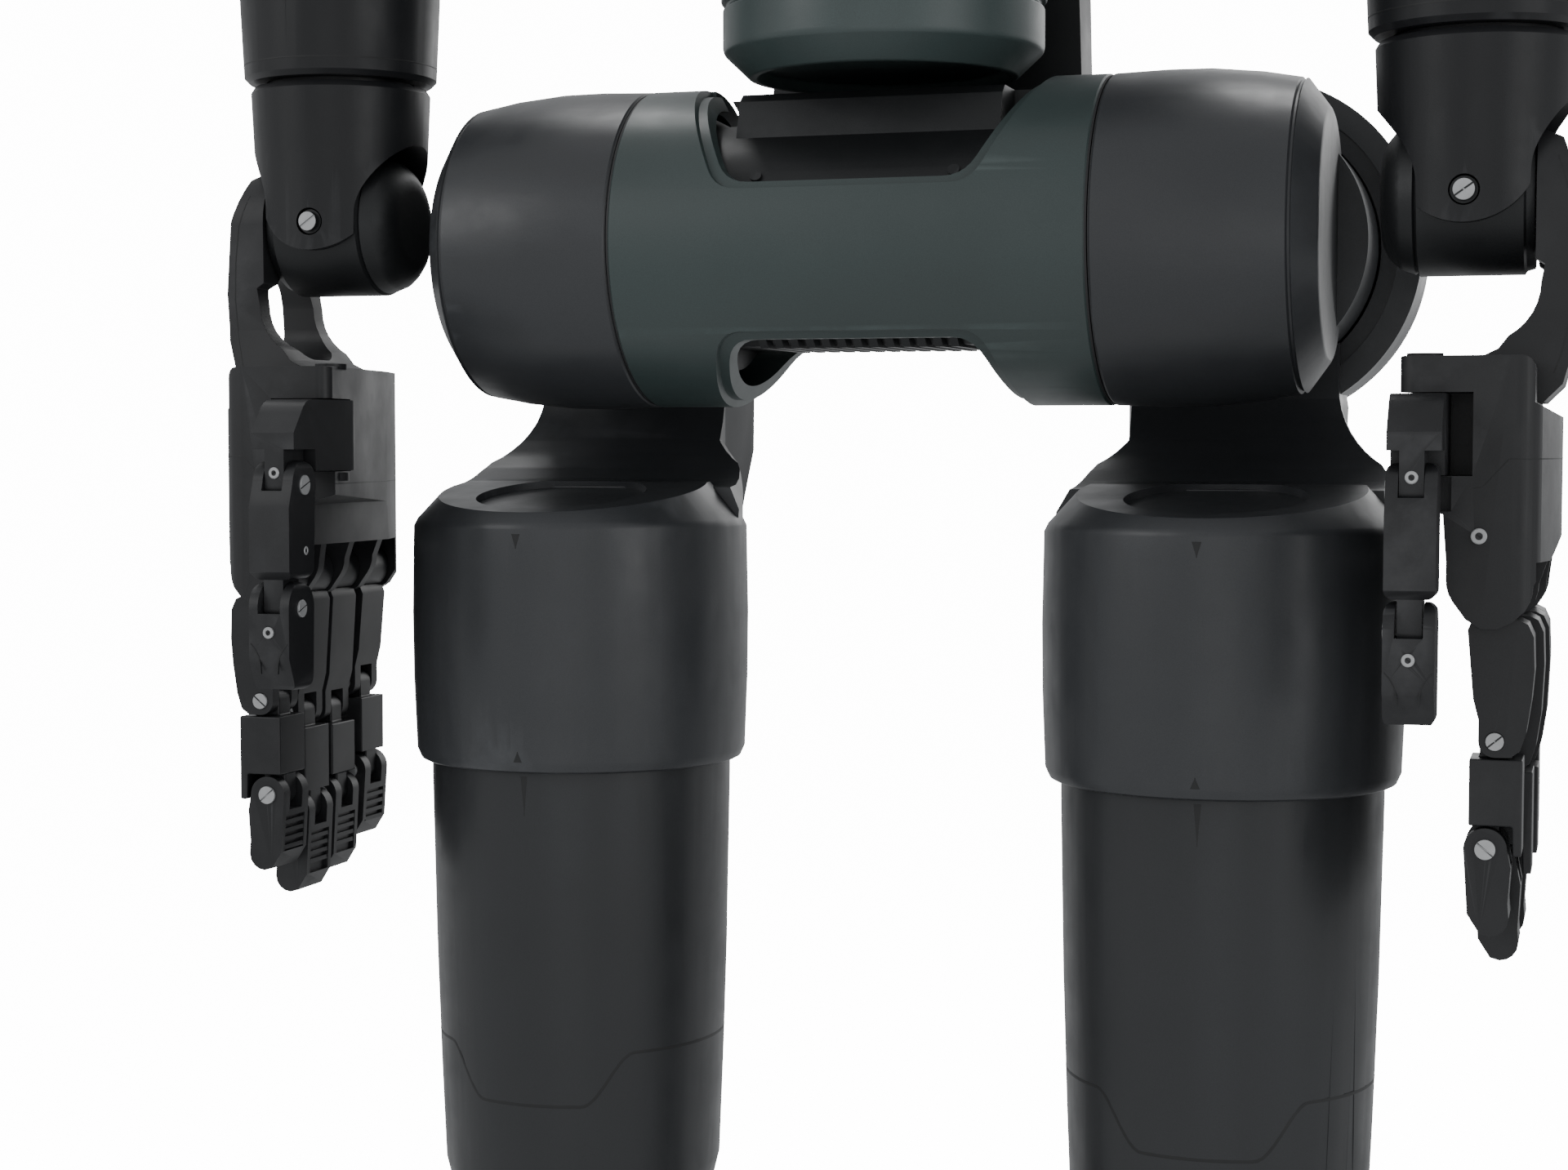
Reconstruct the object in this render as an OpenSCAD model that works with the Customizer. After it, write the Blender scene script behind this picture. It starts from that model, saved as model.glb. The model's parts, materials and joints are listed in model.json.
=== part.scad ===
// Humanoid robot kit, standing, facing -Y, with +Z up, in millimetres.
// The origin is on the floor, midway between the feet.
// Limb modules are written for the +X side and mirrored for the other side.
// Heights in the limb modules are measured from the hip axis.

/* [Stance] */
// Height of the hip axis above the floor
hip_height = 880; // [870:1:900]
// Distance between the two leg axes
leg_spacing = 253; // [250:1:256]
// Distance between the two arm axes
arm_spacing = 432; // [430:1:440]
// Height of the shoulder axis above the hip axis
shoulder_rise = 520; // [515:1:530]
// Height of the elbow axis above the hip axis
elbow_rise = 270; // [265:1:275]

/* [Pelvis] */
// Radius of the pelvis drum
drum_r = 60; // [59:0.5:61]
// Half length of the middle pelvis housing
housing_half = 88; // [86:1:89]
// Outer end of the hip drum
hip_end = 165.5; // [163:0.5:167]
// Outer radius of the roll ring behind each hip
ring_r = 66; // [64:1:67]

/* [Leg] */
// Radius of the upper thigh shell
thigh_r = 65.5; // [64:0.5:66]
// Distance from the hip axis to the knee axis
thigh_length = 420; // [415:1:425]
// Distance from the knee axis to the ankle axis
shin_length = 380; // [375:1:385]
// Length of the foot
foot_length = 236; // [225:1:245]
// Width of the foot
foot_width = 92; // [84:1:96]

/* [Arm] */
// Radius of the forearm at its lower seam
forearm_r = 37.2; // [36.5:0.1:38]
// Radius of the wrist housing at its upper end
wrist_r = 34.7; // [34:0.1:35]
// Radius of the wrist drum
wrist_drum_r = 26.8; // [26:0.1:27]

/* [Hand] */
// Width of one finger
finger_w = 20; // [19:0.5:20.4]
// Distance from one finger to the next
finger_pitch = 25; // [25:0.5:26]
// Lengths of the proximal bones, index to little
proximal_len = [47.7, 54.5, 55.5, 47.5];
// Lengths of the middle bones, index to little
middle_len = [35.8, 38.4, 34, 35.5];
// Lengths of the fingertips, index to little
tip_len = [29.7, 32.8, 32, 28.3];

/* [Hidden] */
$fn = 64;
SIDES = ["left", "right"];
FINGERS = ["index", "middle", "ring", "little"];
ARM_PARTS = ["shoulder", "upper_arm", "forearm", "wrist_housing", "wrist_drum", "hand_bracket"];
HAND_PARTS = ["palm", "thumb_base", "thumb_proximal", "thumb_distal"];
BONES = ["proximal", "middle", "distal"];
LEG_PARTS = ["hip_drum", "hip_yoke", "thigh", "shin", "foot"];

gap = 0.6;
eps = 0.01;
leg_x = leg_spacing / 2;
leg_y = 11;
arm_x = arm_spacing / 2;
arm_y = -16;
knee_z = -thigh_length;
ankle_z = knee_z - shin_length;
floor_z = -hip_height;
ring_front = 66;
ring_back = 104;
centre_y = (foot_length - leg_y - 66 - ring_back) / 2;
motor_r = 50;
waist_top = 146;
wrist_x = arm_x - 2.5;
wrist_z = 10.7;
housing_top = 64.2;
knuckle_x = arm_x + 9;
knuckle_z = -124;
index_y = -56.5;
finger_out = [0, 2.5, 3.7, 3.2];
fin_w = 4.4;
knuckle_r = 9.4;
pip_shift = 1.7;
dip_shift = -2.6;
thumb_x = arm_x - 14;
thumb_y = -54;
thumb_pivot_y = -93;
thumb_pivot_z = -89;
thumb_tip_z = -134;
thumb_w = 16.2;
thumb_in = arm_x - 22.7;

shell_grey = "#46494c";
pelvis_green = "#3a4645";
limb_black = "#2c2e30";
core_black = "#1d1f20";
pin_metal = "#b4b6b8";

// Points of an arc about c with radius r from angle a0 to a1.
function arc(c, r, a0, a1, n = 8) =
    [for (i = [0:n]) let (a = a0 + (a1 - a0) * i / n) c + r * [cos(a), sin(a)]];

// Points of a smooth bend from a to b that leans towards the corner c.
function bend(a, c, b, n = 5) =
    [for (i = [0:n]) let (t = i / n) (1 - t) * (1 - t) * a + 2 * t * (1 - t) * c + t * t * b];

// Cylinder along X from x0 to x1.
module bar_x(x0, x1, r, y = 0, z = 0) {
    translate([x0, y, z]) rotate([0, 90, 0]) cylinder(r = r, h = x1 - x0);
}

// Cylinder along Y from y0 to y1.
module bar_y(y0, y1, r, x = 0, z = 0) {
    translate([x, y1, z]) rotate([90, 0, 0]) cylinder(r = r, h = y1 - y0);
}

// Cylinder along Z from z0 to z1.
module bar_z(z0, z1, r, x = 0, y = 0) {
    translate([x, y, z0]) cylinder(r = r, h = z1 - z0);
}

// Box between two corners.
module box(low, high) {
    translate(low) cube(high - low);
}

// Outline in XZ, carried along Y from y0 to y1.
module plate_y(y0, y1) {
    translate([0, y1, 0]) rotate([90, 0, 0]) linear_extrude(y1 - y0) children();
}

// Outline in YZ, carried along X from x0 to x1.
module plate_x(x0, x1) {
    translate([x0, 0, 0]) rotate([90, 0, 90]) linear_extrude(x1 - x0) children();
}

// Body of revolution about the X axis, from a list of [radius, x].
module turned_x(profile) {
    rotate([0, 90, 0]) rotate_extrude() polygon(profile);
}

// Rounded rectangle centred on the origin.
module rounded(w, d, r) {
    hull() {
        for (x = [-1, 1], y = [-1, 1]) {
            translate([x * (w / 2 - r), y * (d / 2 - r)]) circle(r);
        }
    }
}

// Slotted pin head: a disc with a narrow slot, facing -Y.
module pin_head(x, y, z, r) {
    difference() {
        bar_y(y, y + 2.4, r, x, z);
        translate([x, y, z]) rotate([0, 35, 0]) cube([2 * r + 1, 0.8, 0.5], center = true);
    }
}

// ---------------------------------------------------------------- pelvis

// Opening outline in XZ: flat inner edge, round corners, sides that slope outwards.
module pocket_outline(inner_z, outer_z, inner_w, outer_w) {
    slope = [outer_w - inner_w, outer_z - inner_z];
    far = [inner_w, inner_z] + slope * 8 / norm(slope);
    corner = bend([inner_w - 8, inner_z], [inner_w, inner_z], far);
    polygon(concat(corner, [[outer_w, outer_z], [-outer_w, outer_z]],
        [for (i = [len(corner) - 1:-1:0]) [-corner[i][0], corner[i][1]]]));
}

module pelvis_housing() {
    color(pelvis_green) difference() {
        turned_x([[52, -housing_half], [drum_r - 1, -housing_half], [drum_r, 1 - housing_half],
            [drum_r, housing_half - 1], [drum_r - 1, housing_half], [52, housing_half]]);
        plate_y(-70, 70) pocket_outline(20, 62, 44, 66);
        intersection() {
            turned_x([[57.4, -80], [62, -80], [62, 80], [57.4, 80]]);
            union() {
                plate_y(-70, 0) pocket_outline(17.4, 64, 47, 70);
                plate_y(-70, 70) pocket_outline(-33.4, -64, 48, 60);
            }
        }
        box([-66, 0, -8], [66, 70, 62]);
        plate_y(-70, 70) pocket_outline(-36, -62, 45, 56);
    }
}

// Side outline of the waist bracket in YZ: foot in the drum, post behind it.
module bracket_outline() {
    polygon(concat(
        [[-30, 20], [-20, 53], [-16, 56], [46, 56]],
        arc([48, 70], 14, 270, 360, 6),
        [[62, waist_top], [80, waist_top], [86, 100], [84, 60], [70, 36], [40, 20], [0, 10]]
    ));
}

module waist_bracket() {
    color(core_black) {
        difference() {
            turned_x([[0, 1 - housing_half], [51.3, 1 - housing_half], [51.3, -70], [46, -60],
                [46, 60], [51.3, 70], [51.3, housing_half - 1], [0, housing_half - 1]]);
            box([-58, -60, -60], [58, 60, -38]);
        }
        intersection() {
            plate_x(-64, 64) bracket_outline();
            union() {
                plate_y(0, 100) polygon([[-61, 0], [-56, 30], [-56, 50], [-63, 62], [-60, 150],
                    [60, 150], [63, 62], [56, 50], [56, 30], [61, 0]]);
                box([-50, -40, 0], [50, 0, 60]);
            }
        }
        for (i = [-6:6]) {
            plate_x(i * 6 - 1.5, i * 6 + 1.5)
                polygon([[-36, -20], [-42, -28], [-37, -35.4], [-33, -39], [20, -39], [20, -36]]);
        }
    }
    color(pin_metal) for (x = [-37, 37]) {
        translate([x, 0, 0]) rotate([60, 0, 0]) bar_z(44, 47.2, 2.2);
    }
}

module waist_drum() {
    color(pelvis_green) difference() {
        rotate_extrude() polygon([[0, 66], [45, 66], [47, 62], [50, 62], [drum_r - 0.5, 71],
            [drum_r, 73], [drum_r, 87], [drum_r - 1.6, 87.6], [drum_r - 1.6, 89], [drum_r + 0.7, 89.6],
            [drum_r + 0.7, waist_top], [0, waist_top]]);
        box([-64, 62, 60], [64, 90, 150]);
    }
}

// ---------------------------------------------------------------- upper body

chest_front = [[-62, 168], [-80, 232], [-98, 330], [-106, 420], [-98, 500], [-76, 552], [-50, 580]];
chest_back = [[50, 580], [84, 548], [98, 450], [92, 330], [78, 232], [62, 168]];
chest_half = [[66, 168], [92, 225], [132, 320], [146, 400], [146, 500], [126, 552], [74, 586]];

module torso() {
    color(shell_grey) difference() {
        union() {
            rotate_extrude() polygon([[0, waist_top + gap], [58, waist_top + gap], [61, waist_top + 3],
                [61, 168], [66, 180], [0, 180]]);
            intersection() {
                plate_x(-150, 150) polygon(concat(chest_front, chest_back));
                plate_y(-120, 120) polygon(concat(chest_half,
                    [for (i = [len(chest_half) - 1:-1:0]) [-chest_half[i][0], chest_half[i][1]]]));
                translate([0, -2, 160]) linear_extrude(440) rounded(294, 206, 70);
            }
            bar_x(-151, 151, 50, arm_y, shoulder_rise);
            bar_z(570, 590, 48);
        }
        bar_z(584, 591, 40);
        for (side = [-1, 1]) {
            for (i = [0:5]) {
                box([side * 60 - 22, 86, 300 + i * 12], [side * 60 + 22, 110, 305 + i * 12]);
            }
        }
    }
}

module neck() {
    color(core_black) {
        bar_z(584 + gap, 611, 39);
        bar_z(611, 617, 34);
        bar_x(-24, 24, 18, 0, 640);
        box([-24, -18, 616], [24, 18, 640]);
    }
}

module head() {
    color(shell_grey) difference() {
        union() {
            rotate_extrude() polygon(concat([[0, 654], [50, 654], [56, 660]], arc([0, 742], 80, -30, 90, 18)));
            for (side = [-1, 1]) {
                bar_x(min(side * 66, side * 82), max(side * 66, side * 82), 26, 0, 730);
            }
            for (x = [-42, 26]) {
                bar_x(x, x + 16, 20, 0, 640);
                box([x, -18, 640], [x + 16, 18, 680]);
            }
        }
        box([-25, -60, 600], [25, 60, 664]);
    }
}

// ---------------------------------------------------------------- arm

module shoulder() {
    color(shell_grey) difference() {
        union() {
            bar_x(151.6, 176, 48, arm_y, shoulder_rise);
            for (side = [-1, 1]) {
                translate([0, arm_y + side * 46, 0]) {
                    bar_y(-6, 6, 42, arm_x, shoulder_rise);
                    box([170, -6, shoulder_rise - 36], [arm_x, 6, shoulder_rise + 36]);
                }
            }
            box([172, arm_y - 46, shoulder_rise - 36], [178, arm_y + 46, shoulder_rise + 36]);
        }
        bar_y(arm_y - 39.6, arm_y + 39.6, 41, arm_x + 1, shoulder_rise);
    }
}

module upper_arm() {
    elbow = elbow_rise;
    color(shell_grey) difference() {
        union() {
            bar_y(arm_y - 39, arm_y + 39, 38, arm_x, shoulder_rise);
            translate([arm_x, arm_y, 0]) rotate_extrude() polygon([[0, elbow + 52], [39, elbow + 52],
                [42, elbow + 58], [44, elbow + 110], [43, shoulder_rise - 56],
                [37, shoulder_rise - 46], [0, shoulder_rise - 46]]);
            bar_z(shoulder_rise - 50, shoulder_rise, 30, arm_x, arm_y);
            bar_x(arm_x - 29, arm_x + 29, 34, arm_y, elbow);
            box([arm_x - 29, arm_y - 26, elbow], [arm_x + 29, arm_y + 30, elbow + 60]);
        }
        bar_y(arm_y - 40, arm_y - 37.6, 24, arm_x, shoulder_rise);
    }
}

module forearm() {
    seam_top = elbow_rise - 50;
    color(limb_black) difference() {
        union() {
            translate([arm_x, arm_y, 0]) rotate_extrude() polygon([[0, 66], [forearm_r - 2, 66],
                [forearm_r, 68], [forearm_r + 1.45, 98], [43.6, seam_top - 6], [41, seam_top], [0, seam_top]]);
            for (side = [-1, 1]) {
                bar_x(arm_x + side * 35.2 - 5.2, arm_x + side * 35.2 + 5.2, 36, arm_y, elbow_rise);
                box([arm_x + side * 35.2 - 5.2, arm_y - 24, seam_top - 16],
                    [arm_x + side * 35.2 + 5.2, arm_y + 24, elbow_rise]);
            }
        }
        bar_z(60, 76, 29, arm_x, arm_y);
        bar_x(arm_x - 29.6, arm_x + 29.6, 35, arm_y, elbow_rise);
    }
}

// Front outline of the wrist tongues in XZ.
module tongue_outline() {
    translate([wrist_x, 0]) {
        translate([0, 24]) circle(24);
        translate([-24, 24]) square([48, 6]);
        polygon([[-24, 24], [24, 24], [40, 44], [40, 80], [-40, 80], [-40, 44]]);
    }
}

module wrist_housing() {
    color(limb_black) {
        difference() {
            intersection() {
                translate([arm_x, arm_y, 0]) rotate_extrude() polygon([[0, -4], [wrist_r - 1.8, -4],
                    [wrist_r - 1.2, 36], [wrist_r, 62], [wrist_r - 1.4, housing_top], [0, housing_top]]);
                plate_y(-90, 60) tongue_outline();
            }
            bar_x(arm_x - 50, arm_x + 50, wrist_drum_r + gap, arm_y, wrist_z);
            bar_x(arm_x - 50, arm_x + 50, wrist_drum_r + gap, arm_y, wrist_z + 3.4);
            bar_x(arm_x, arm_x + 50, wrist_drum_r + gap, arm_y, wrist_z + 7);
            box([arm_x - 50, arm_y - wrist_drum_r - gap, -10],
                [arm_x + 50, arm_y + wrist_drum_r + gap, wrist_z + 3.4]);
            box([arm_x, arm_y - wrist_drum_r - gap, wrist_z],
                [arm_x + 50, arm_y + wrist_drum_r + gap, wrist_z + 7]);
            bar_y(arm_y - 60, arm_y + 60, 5.2, wrist_x, wrist_z);
        }
        bar_z(housing_top - 2, 75, 28, arm_x, arm_y);
    }
}

// The drum block turns on the front-to-back pin and carries the hand.
module wrist_drum() {
    inner_x = arm_x - 31.5;
    color(core_black) translate([0, arm_y, wrist_z]) turned_x([[0, inner_x], [13, inner_x],
        [17, inner_x + 0.7], [20, inner_x + 2.2], [22.4, inner_x + 4.2], [24.2, inner_x + 6.4],
        [wrist_drum_r - 1.8, inner_x + 8.6], [wrist_drum_r - 0.8, inner_x + 11.5],
        [wrist_drum_r - 1.6, inner_x + 12.2], [wrist_drum_r, inner_x + 13], [wrist_drum_r, arm_x + 16.5],
        [wrist_drum_r - 1.2, arm_x + 17.3], [wrist_drum_r - 2, arm_x + 20], [0, arm_x + 20]]);
    color(pin_metal) {
        pin_head(wrist_x, arm_y - 34.2, wrist_z, 3.7);
        bar_y(arm_y - 32, arm_y - 20, 4.6, wrist_x, wrist_z);
        bar_y(arm_y + 20, arm_y + 33, 4.6, wrist_x, wrist_z);
    }
}

// Front outline of the hand bracket in XZ.
module bracket_curve() {
    polygon(concat(
        [[arm_x + 20.6, 32.6], [arm_x + 29, 28.4], [arm_x + 34.5, 12], [arm_x + 36.5, -16]],
        [[arm_x + 35.5, -34], [arm_x + 30, -54], [arm_x + 24, -60]],
        [[arm_x + 4, -60], [arm_x + 4, -44.4], [arm_x + 9, -42]],
        arc([arm_x + 2, -20], 20.5, -60, 0, 6),
        [[arm_x + 23.6, -14], [arm_x + 20.6, -12]]
    ));
}

module hand_bracket() {
    color(limb_black) difference() {
        intersection() {
            plate_y(-46, 14) bracket_curve();
            plate_x(arm_x, arm_x + 50) polygon(concat(arc([arm_y, wrist_z], 26.5, 0, 180, 18),
                [[arm_y - 26, -30], [arm_y - 29, -60], [arm_y + 29, -60], [arm_y + 26, -30]]));
        }
        plate_x(arm_x + 6, arm_x + 50) translate([arm_y, -24]) rounded(36, 34, 13);
        bar_x(arm_x + 32, arm_x + 40, 12, arm_y, wrist_z);
    }
}

// ---------------------------------------------------------------- hand

palm_plan = concat(
    arc([arm_x - 16, -65.8], 5, 190, 270, 4), arc([arm_x + 15, -60.8], 10, 270, 338, 5),
    [[arm_x + 29, -36], [arm_x + 30, -20], [arm_x + 29.4, -2], [arm_x + 27, 14]],
    arc([arm_x + 13, 22.2], 11, 14, 90, 5), [[arm_x + 1, 32], [arm_x - 6, 10]]);

// Front outline of the palm above the finger slots, in XZ.
module palm_outline() {
    polygon(concat(arc([arm_x - 19.6, -48.4], 3.4, 180, 90, 4), arc([arm_x + 17.6, -49.4], 4.4, 90, 0, 4),
        [[arm_x + 22, -60.4], [arm_x + 32, -66], [arm_x + 32, -100], [arm_x + 27, -112.6],
        [arm_x - 5.4, -112.6], [arm_x - 6.6, -97], [arm_x - 24, -92]]));
}

// Rounded fin beside a knuckle, in XZ, for the finger number i.
module fin_outline(shift) {
    side = arc([knuckle_x + shift - 2, -118.6], 12.4, 180, 214, 3);
    far = arc([knuckle_x + shift - 1, -120.4], 14.2, 326, 360, 3);
    polygon(concat([[arm_x - 5.4, -110]], side,
        [[knuckle_x + shift - 8, -131.4], [knuckle_x + shift - 3, -134.4], [knuckle_x + shift + 2, -134.4],
        [knuckle_x + shift + 7, -132]], far, [[arm_x + 27, -110]]));
}

module palm() {
    color(limb_black) difference() {
        union() {
            intersection() {
                translate([0, 0, -140]) linear_extrude(100) polygon(palm_plan);
                plate_y(-80, 40) palm_outline();
            }
            for (i = [0:4]) {
                fin_y = index_y + (i - 0.5) * finger_pitch;
                intersection() {
                    plate_y(fin_y - fin_w / 2, fin_y + fin_w / 2)
                        fin_outline((finger_out[max(i - 1, 0)] + finger_out[min(i, 3)]) / 2);
                    translate([0, 0, -140]) linear_extrude(100) polygon(palm_plan);
                }
            }
        }
        box([arm_x - 40, -80, -84.4], [arm_x + 2.6, thumb_y + 11, -57]);
        box([arm_x - 40, -80, -96], [arm_x - 4, thumb_y - 10, -84]);
        // Seat for the foot of the hand bracket.
        box([arm_x + 4, -46.1, -60], [arm_x + 50, 14, -40]);
    }
    color(pin_metal) {
        bar_z(-46, -43.8, 6, thumb_x, thumb_y);
        bar_z(-88, -84.9, 6.4, thumb_x, thumb_y);
        pin_head(arm_x + 5, -72, -104, 2.2);
    }
}

module thumb_base() {
    color(limb_black) difference() {
        union() {
            bar_z(-84, -57.6, 8.6, thumb_x, thumb_y);
            plate_x(thumb_x - 8.6, thumb_x + 8.6) polygon(concat([[thumb_y, -84], [thumb_y, -57.6]],
                arc([-86, -67.6], 10, 90, 150, 4),
                [[-100.6, -70], [-100.6, -76], [-84, -76], [-83.4, -84]]));
            bar_x(thumb_in + 4.2, thumb_in + 12, 7.6, thumb_pivot_y, thumb_pivot_z);
            box([thumb_in + 4.2, thumb_pivot_y - 7.6, thumb_pivot_z], [thumb_in + 12, thumb_pivot_y + 7.6, -70]);
        }
        bar_y(-104, -99.6, 2, thumb_in + 8.1, -84.6);
    }
    color(pin_metal) pin_head(thumb_in + 8.1, -100.9, -84.6, 1.5);
}

module thumb_proximal() {
    low_z = thumb_tip_z + 10.6;
    color(limb_black) {
        difference() {
            intersection() {
                plate_x(thumb_in, thumb_in + thumb_w) union() {
                    translate([thumb_pivot_y, thumb_pivot_z]) circle(9);
                    polygon([[thumb_pivot_y - 8.6, thumb_pivot_z + 2], [thumb_pivot_y - 12, thumb_pivot_z - 8],
                        [thumb_pivot_y - 12, low_z + 3], [thumb_pivot_y - 9, low_z], [thumb_pivot_y + 4, low_z],
                        [thumb_pivot_y + 7, low_z + 3], [thumb_pivot_y + 8.6, thumb_pivot_z + 2]]);
                }
                plate_y(-120, -60) translate([thumb_in + thumb_w / 2, (thumb_pivot_z + 9 + low_z) / 2])
                    rounded(thumb_w, thumb_pivot_z + 9 - low_z, 3);
            }
            bar_x(thumb_in + 4, thumb_in + 12.2, 8.8, thumb_pivot_y, thumb_pivot_z);
            box([thumb_in + 4, thumb_pivot_y - 14, thumb_pivot_z - 2],
                [thumb_in + 12.2, thumb_pivot_y + 12, -70]);
        }
        bar_x(thumb_in + 4.2, thumb_in + 12, 6, thumb_pivot_y - 3, thumb_tip_z);
        box([thumb_in + 4.2, thumb_pivot_y - 9, thumb_tip_z], [thumb_in + 12, thumb_pivot_y + 3, low_z + 4]);
    }
    color(pin_metal) bar_x(thumb_in - 0.3, thumb_in + 4, 3.4, thumb_pivot_y, thumb_pivot_z);
}

module thumb_distal() {
    axis_y = thumb_pivot_y - 3;
    color(limb_black) difference() {
        intersection() {
            plate_x(thumb_in, thumb_in + thumb_w) union() {
                translate([axis_y, thumb_tip_z]) circle(9.8);
                polygon(concat([[axis_y - 9.8, thumb_tip_z], [axis_y + 9.8, thumb_tip_z]],
                    [[axis_y + 9, -156]], arc([axis_y + 3, -158], 6, 0, -80, 4), [[axis_y - 5, -163.4],
                    [axis_y - 9.8, -152]]));
            }
            plate_y(-120, -60) translate([thumb_in + thumb_w / 2, thumb_tip_z - 10.2])
                rounded(thumb_w, 40.2, 3.4);
        }
        bar_x(thumb_in + 3.6, thumb_in + 12.6, 7.4, axis_y, thumb_tip_z);
        box([thumb_in + 3.6, axis_y - 12, thumb_tip_z - 1.6], [thumb_in + 12.6, axis_y + 12, thumb_tip_z + 12]);
    }
    color(pin_metal) {
        bar_x(thumb_in - 0.3, thumb_in + 3.6, 3, axis_y, thumb_tip_z);
        pin_head(thumb_in + 8.1, axis_y - 10.4, -142.4, 1.9);
    }
}

// Places a finger's own frame: origin on its knuckle axis, in the finger's middle.
module at_knuckle(i) {
    translate([knuckle_x + finger_out[i], index_y + i * finger_pitch, knuckle_z]) children();
}

module finger_proximal(i) {
    reach = proximal_len[i];
    at_knuckle(i) {
        color(limb_black) difference() {
            union() {
                bar_y(-9, 9, knuckle_r, 0, 0);
                plate_y(-finger_w / 2, finger_w / 2) union() {
                    polygon(concat([[-6, -7.6], [-7.4, -11], [-5.4, 14 - reach], [pip_shift - 5.3, 7 - reach]],
                        arc([pip_shift, -reach], 5.3, 180, 270, 6),
                        [[pip_shift + 5, -reach - 5.2], [pip_shift + 8, -reach - 3], [11.6, 3 - reach],
                        [13.2, 14 - reach], [14, -24], [13.6, -13], [11.8, -9], [9, -7.6]]));
                }
            }
            box([pip_shift - 8, -5, -reach - 7], [pip_shift + 6.4, 5, 7 - reach]);
            bar_y(-11, -9.2, 3.2, pip_shift, -reach);
        }
        color(pin_metal) pin_head(pip_shift, -finger_w / 2 - 0.6, -reach, 2.9);
    }
}

module finger_middle(i) {
    reach = middle_len[i];
    at_knuckle(i) translate([pip_shift, 0, -proximal_len[i]]) {
        color(limb_black) {
            bar_y(-4.6, 4.6, 5, 0, 0);
            box([-5, -4.6, -8], [5, 4.6, 0]);
            plate_y(-finger_w / 2, finger_w / 2)
                polygon([[-8.1, -5.9], [9, -5.9], [9, -reach - 2], [6.2, -reach - 2], [5.9, 7.7 - reach],
                    [-8.1, 7.7 - reach]]);
            bar_y(-4.4, 4.4, 4.6, dip_shift, -reach);
            box([dip_shift - 4.6, -4.4, -reach], [dip_shift + 4.6, 4.4, 9 - reach]);
        }
    }
}

module finger_distal(i) {
    reach = tip_len[i];
    at_knuckle(i) translate([pip_shift + dip_shift, 0, -proximal_len[i] - middle_len[i]]) {
        color(limb_black) {
            difference() {
                plate_y(-finger_w / 2, finger_w / 2) union() {
                    circle(7);
                    polygon(concat([[-7, 0], [7, 0], [8.2, -6], [7.4, 12 - reach]],
                        arc([1.6, 7 - reach], 6.2, 0, -90, 4),
                        [[-1.5, 1.6 - reach], [-5.6, 8 - reach]]));
                }
                box([-8, -4.9, -6], [9, 4.9, 8]);
                plate_y(-7.4, 7.4) polygon([[-9, -8.4], [-5.2, -8.4], [-4.2, 8 - reach], [-9, 8 - reach]]);
            }
            for (k = [0:3]) {
                plate_y(-7.5, 7.5) polygon([[-3.8, -9.4 - k * 3.2], [-6.2 + k * 0.2, -9.8 - k * 3.2],
                    [-6.2 + k * 0.2, -11.4 - k * 3.2], [-3.8, -11.6 - k * 3.2]]);
            }
        }
        color(pin_metal) pin_head(0, -finger_w / 2 - 0.8, 0, 3.3);
    }
}

// ---------------------------------------------------------------- leg

module hip_drum() {
    color(shell_grey) {
        turned_x([[0, housing_half + gap], [drum_r - 1, housing_half + gap], [drum_r, housing_half + 1.6],
            [drum_r + 0.6, 108], [drum_r + 0.4, 124], [drum_r - 1.4, 142], [56.2, 155.4], [55, 156],
            [55, 156.8], [55.8, 157.4], [45.5, hip_end - 0.6], [44, hip_end], [0, hip_end]]);
        difference() {
            bar_y(20, 64, motor_r, leg_x, 0);
            box([0, 0, -70], [housing_half + gap, 60.8, 70]);
        }
        bar_y(60.8, ring_back - 8, motor_r - 2, leg_x, 0);
    }
}

// Front outline of the yoke's neck in XZ: it spreads to meet the thigh shell.
module neck_front() {
    side = arc([70, -52], 34, 180, 243, 8);
    translate([leg_x, 0]) polygon(concat([[36, 0]], side, [[66, -104], [-66, -104]],
        [for (i = [len(side) - 1:-1:0]) [-side[i][0], side[i][1]]], [[-36, 0]]));
}

// Side outline of the neck in YZ: it runs forward into the dish of the thigh.
module neck_side() {
    polygon(concat([[ring_back, 0], [62, 0]], arc([20, -49], 42, 0, -90, 8),
        [[10, -122], [64, -122], [74, -104], [79, -90], [88, -66], [ring_back, -30]]));
}

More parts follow.
